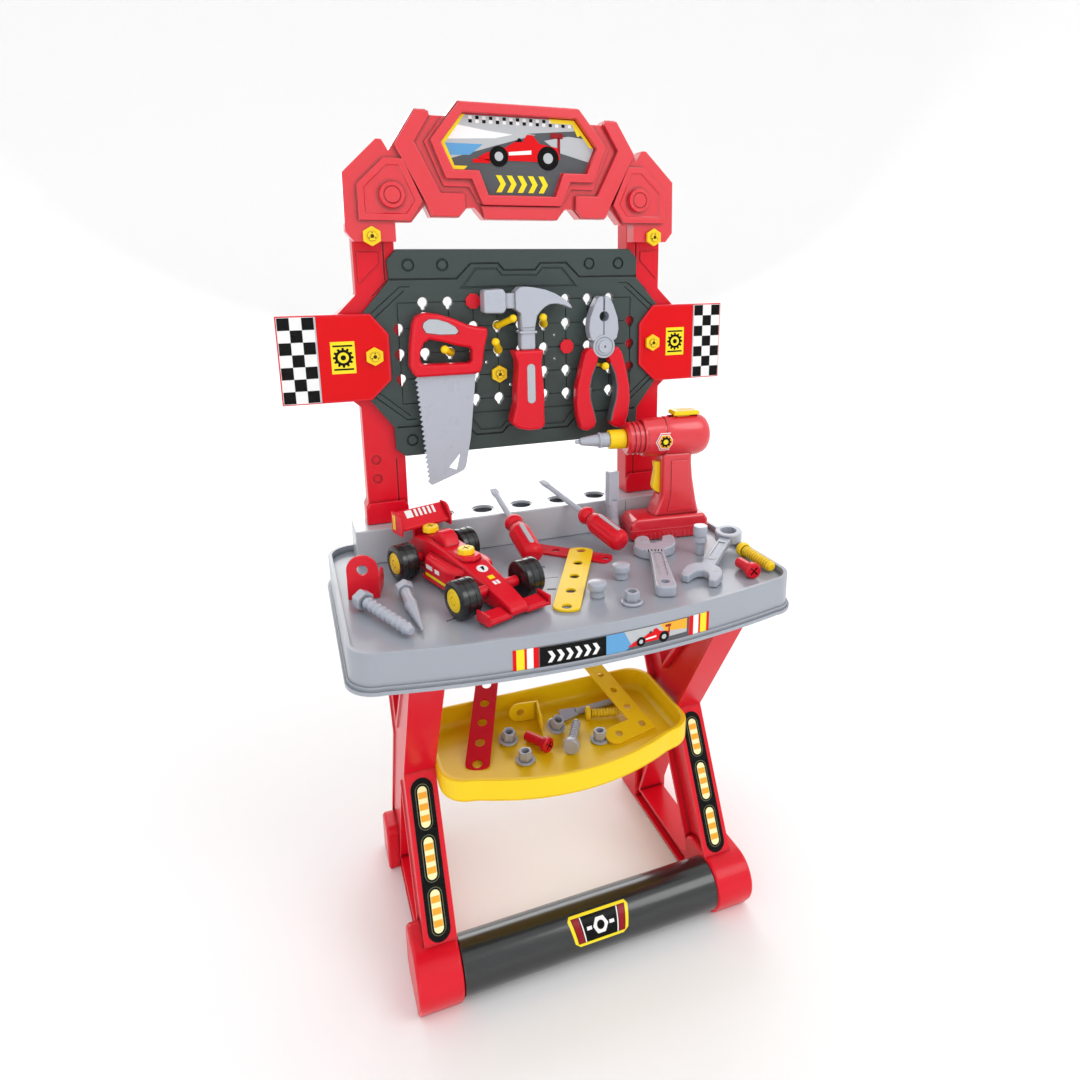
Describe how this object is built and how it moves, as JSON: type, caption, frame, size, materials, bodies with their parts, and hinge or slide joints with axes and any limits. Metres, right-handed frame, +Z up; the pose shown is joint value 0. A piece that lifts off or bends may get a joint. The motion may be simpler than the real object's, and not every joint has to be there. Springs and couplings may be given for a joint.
{
  "type": "toy workbench",
  "caption": "Upright toy workbench on crossed side legs, with a perforated tool board, worktop tray, lower bin, hung hand tools, a toy drill, a racing car and loose fasteners.",
  "frame": {"origin": "middle of the footprint at floor level", "axes": "+Z up, +X to the right of someone facing the bench, +Y away from them, through the tool board"},
  "size_m": [0.57, 0.33, 0.976],
  "materials": {
    "red_plastic": "semi-gloss moulded",
    "grey_plastic": "semi-gloss moulded",
    "pale_grey_plastic": "semi-gloss moulded",
    "yellow_plastic": "semi-gloss moulded",
    "black_plastic": "glossy",
    "dark_board_plastic": "satin"
  },
  "bodies": {
    "bench": {"side_frame_left": "red_plastic", "side_frame_right": "red_plastic", "post_right": "red_plastic", "post_left": "red_plastic", "headboard": "red_plastic", "flag_left": "red_plastic", "flag_right": "red_plastic", "board_bolt_upper": "red_plastic", "board_bolt_lower": "red_plastic", "strip_red": "red_plastic", "bracket_red": "red_plastic", "bolt_red": "red_plastic", "worktop": "grey_plastic", "socket_piece": "grey_plastic", "bolt_grey": "grey_plastic", "nail_grey": "grey_plastic", "screw_standing": "grey_plastic", "lower_tray": "yellow_plastic", "head_nut_left": "yellow_plastic", "head_nut_right": "yellow_plastic", "flag_nut_left": "yellow_plastic", "flag_nut_right": "yellow_plastic", "board_nut": "yellow_plastic", "peg_saw_left": "yellow_plastic", "peg_saw_right": "yellow_plastic", "peg_hammer_left": "yellow_plastic", "peg_hammer_right": "yellow_plastic", "peg_pliers": "yellow_plastic", "strip_yellow": "yellow_plastic", "bolt_yellow": "yellow_plastic", "front_tube": "black_plastic", "rear_shelf": "pale_grey_plastic", "pegboard": "dark_board_plastic"},
    "saw": {"saw_grip": "red_plastic", "saw_blade": "grey_plastic"},
    "hammer": {"hammer_head": "grey_plastic", "hammer_grip": "red_plastic"},
    "pliers": {"pliers_half_fixed": "grey_plastic", "pliers_pivot": "grey_plastic"},
    "pliers_moving": {"pliers_half_moving": "grey_plastic"},
    "drill": {"drill_body": "red_plastic"},
    "drill_spindle": {"drill_chuck": "yellow_plastic", "drill_nose": "grey_plastic"},
    "drill_trigger": {"drill_trigger": "yellow_plastic"},
    "drill_slider": {"drill_slider": "yellow_plastic"},
    "car": {"car_body": "red_plastic", "car_wing": "red_plastic", "car_bolt_rear": "yellow_plastic", "car_bolt_front": "yellow_plastic"},
    "car_wheel_front_left": {"car_wheel_front_left": "black_plastic"},
    "car_wheel_front_right": {"car_wheel_front_right": "black_plastic"},
    "car_wheel_rear_left": {"car_wheel_rear_left": "black_plastic"},
    "car_wheel_rear_right": {"car_wheel_rear_right": "black_plastic"},
    "screwdriver_small": {"screwdriver_small_grip": "red_plastic", "screwdriver_small_shaft": "grey_plastic"},
    "screwdriver_large": {"screwdriver_large_grip": "red_plastic", "screwdriver_large_shaft": "grey_plastic"},
    "wrench": {"wrench_body": "grey_plastic"},
    "wrench_jaw": {"wrench_jaw": "grey_plastic"},
    "spanner": {"spanner": "grey_plastic"}
  },
  "joints": [
    {"name": "saw_pull_off", "type": "slide", "parent": "bench", "child": "saw", "axis": [0, -1, 0], "range_m": [0, 0.06]},
    {"name": "hammer_lift", "type": "slide", "parent": "bench", "child": "hammer", "axis": [0, 0, 1], "range_m": [0, 0.028]},
    {"name": "pliers_lift", "type": "slide", "parent": "bench", "child": "pliers", "axis": [0, 0, 1], "range_m": [0, 0.04]},
    {"name": "pliers_open", "type": "hinge", "parent": "pliers", "child": "pliers_moving", "pos_m": [0.104, 0.101, 0.694], "axis": [0, 1, 0], "range_deg": [0, 18]},
    {"name": "drill_lift", "type": "slide", "parent": "bench", "child": "drill", "axis": [0, 0, 1], "range_m": [0, 0.1]},
    {"name": "drill_spin", "type": "hinge", "parent": "drill", "child": "drill_spindle", "pos_m": [0.193, 0.063, 0.576], "axis": [0.9945, -0.1045, 0], "continuous": true},
    {"name": "drill_trigger_press", "type": "slide", "parent": "drill", "child": "drill_trigger", "axis": [0.9945, -0.1045, 0], "range_m": [0, 0.004], "stiffness_N_per_m": 200, "springref_m": -0.002},
    {"name": "drill_slider_shift", "type": "slide", "parent": "drill", "child": "drill_slider", "axis": [0.9945, -0.1045, 0], "range_m": [-0.01, 0.01]},
    {"name": "car_lift", "type": "slide", "parent": "bench", "child": "car", "axis": [0, 0, 1], "range_m": [0, 0.02]},
    {"name": "car_front_left_spin", "type": "hinge", "parent": "car", "child": "car_wheel_front_left", "pos_m": [-0.05124, -0.05162, 0.4619], "axis": [0.9455, 0.3256, 0], "continuous": true},
    {"name": "car_front_right_spin", "type": "hinge", "parent": "car", "child": "car_wheel_front_right", "pos_m": [-0.12877, -0.07832, 0.4619], "axis": [0.9455, 0.3256, 0], "continuous": true},
    {"name": "car_rear_left_spin", "type": "hinge", "parent": "car", "child": "car_wheel_rear_left", "pos_m": [-0.09323, 0.07035, 0.4619], "axis": [0.9455, 0.3256, 0], "continuous": true},
    {"name": "car_rear_right_spin", "type": "hinge", "parent": "car", "child": "car_wheel_rear_right", "pos_m": [-0.17077, 0.04365, 0.4619], "axis": [0.9455, 0.3256, 0], "continuous": true},
    {"name": "screwdriver_small_lift", "type": "slide", "parent": "bench", "child": "screwdriver_small", "axis": [0, 0, 1], "range_m": [0, 0.05]},
    {"name": "screwdriver_large_lift", "type": "slide", "parent": "bench", "child": "screwdriver_large", "axis": [0, 0, 1], "range_m": [0, 0.05]},
    {"name": "wrench_lift", "type": "slide", "parent": "bench", "child": "wrench", "axis": [0, 0, 1], "range_m": [0, 0.05]},
    {"name": "wrench_jaw_slide", "type": "slide", "parent": "wrench", "child": "wrench_jaw", "axis": [-0.9336, 0.3584, 0], "range_m": [-0.006, 0.004]},
    {"name": "spanner_lift", "type": "slide", "parent": "bench", "child": "spanner", "axis": [0, 0, 1], "range_m": [0, 0.05]}
  ]
}
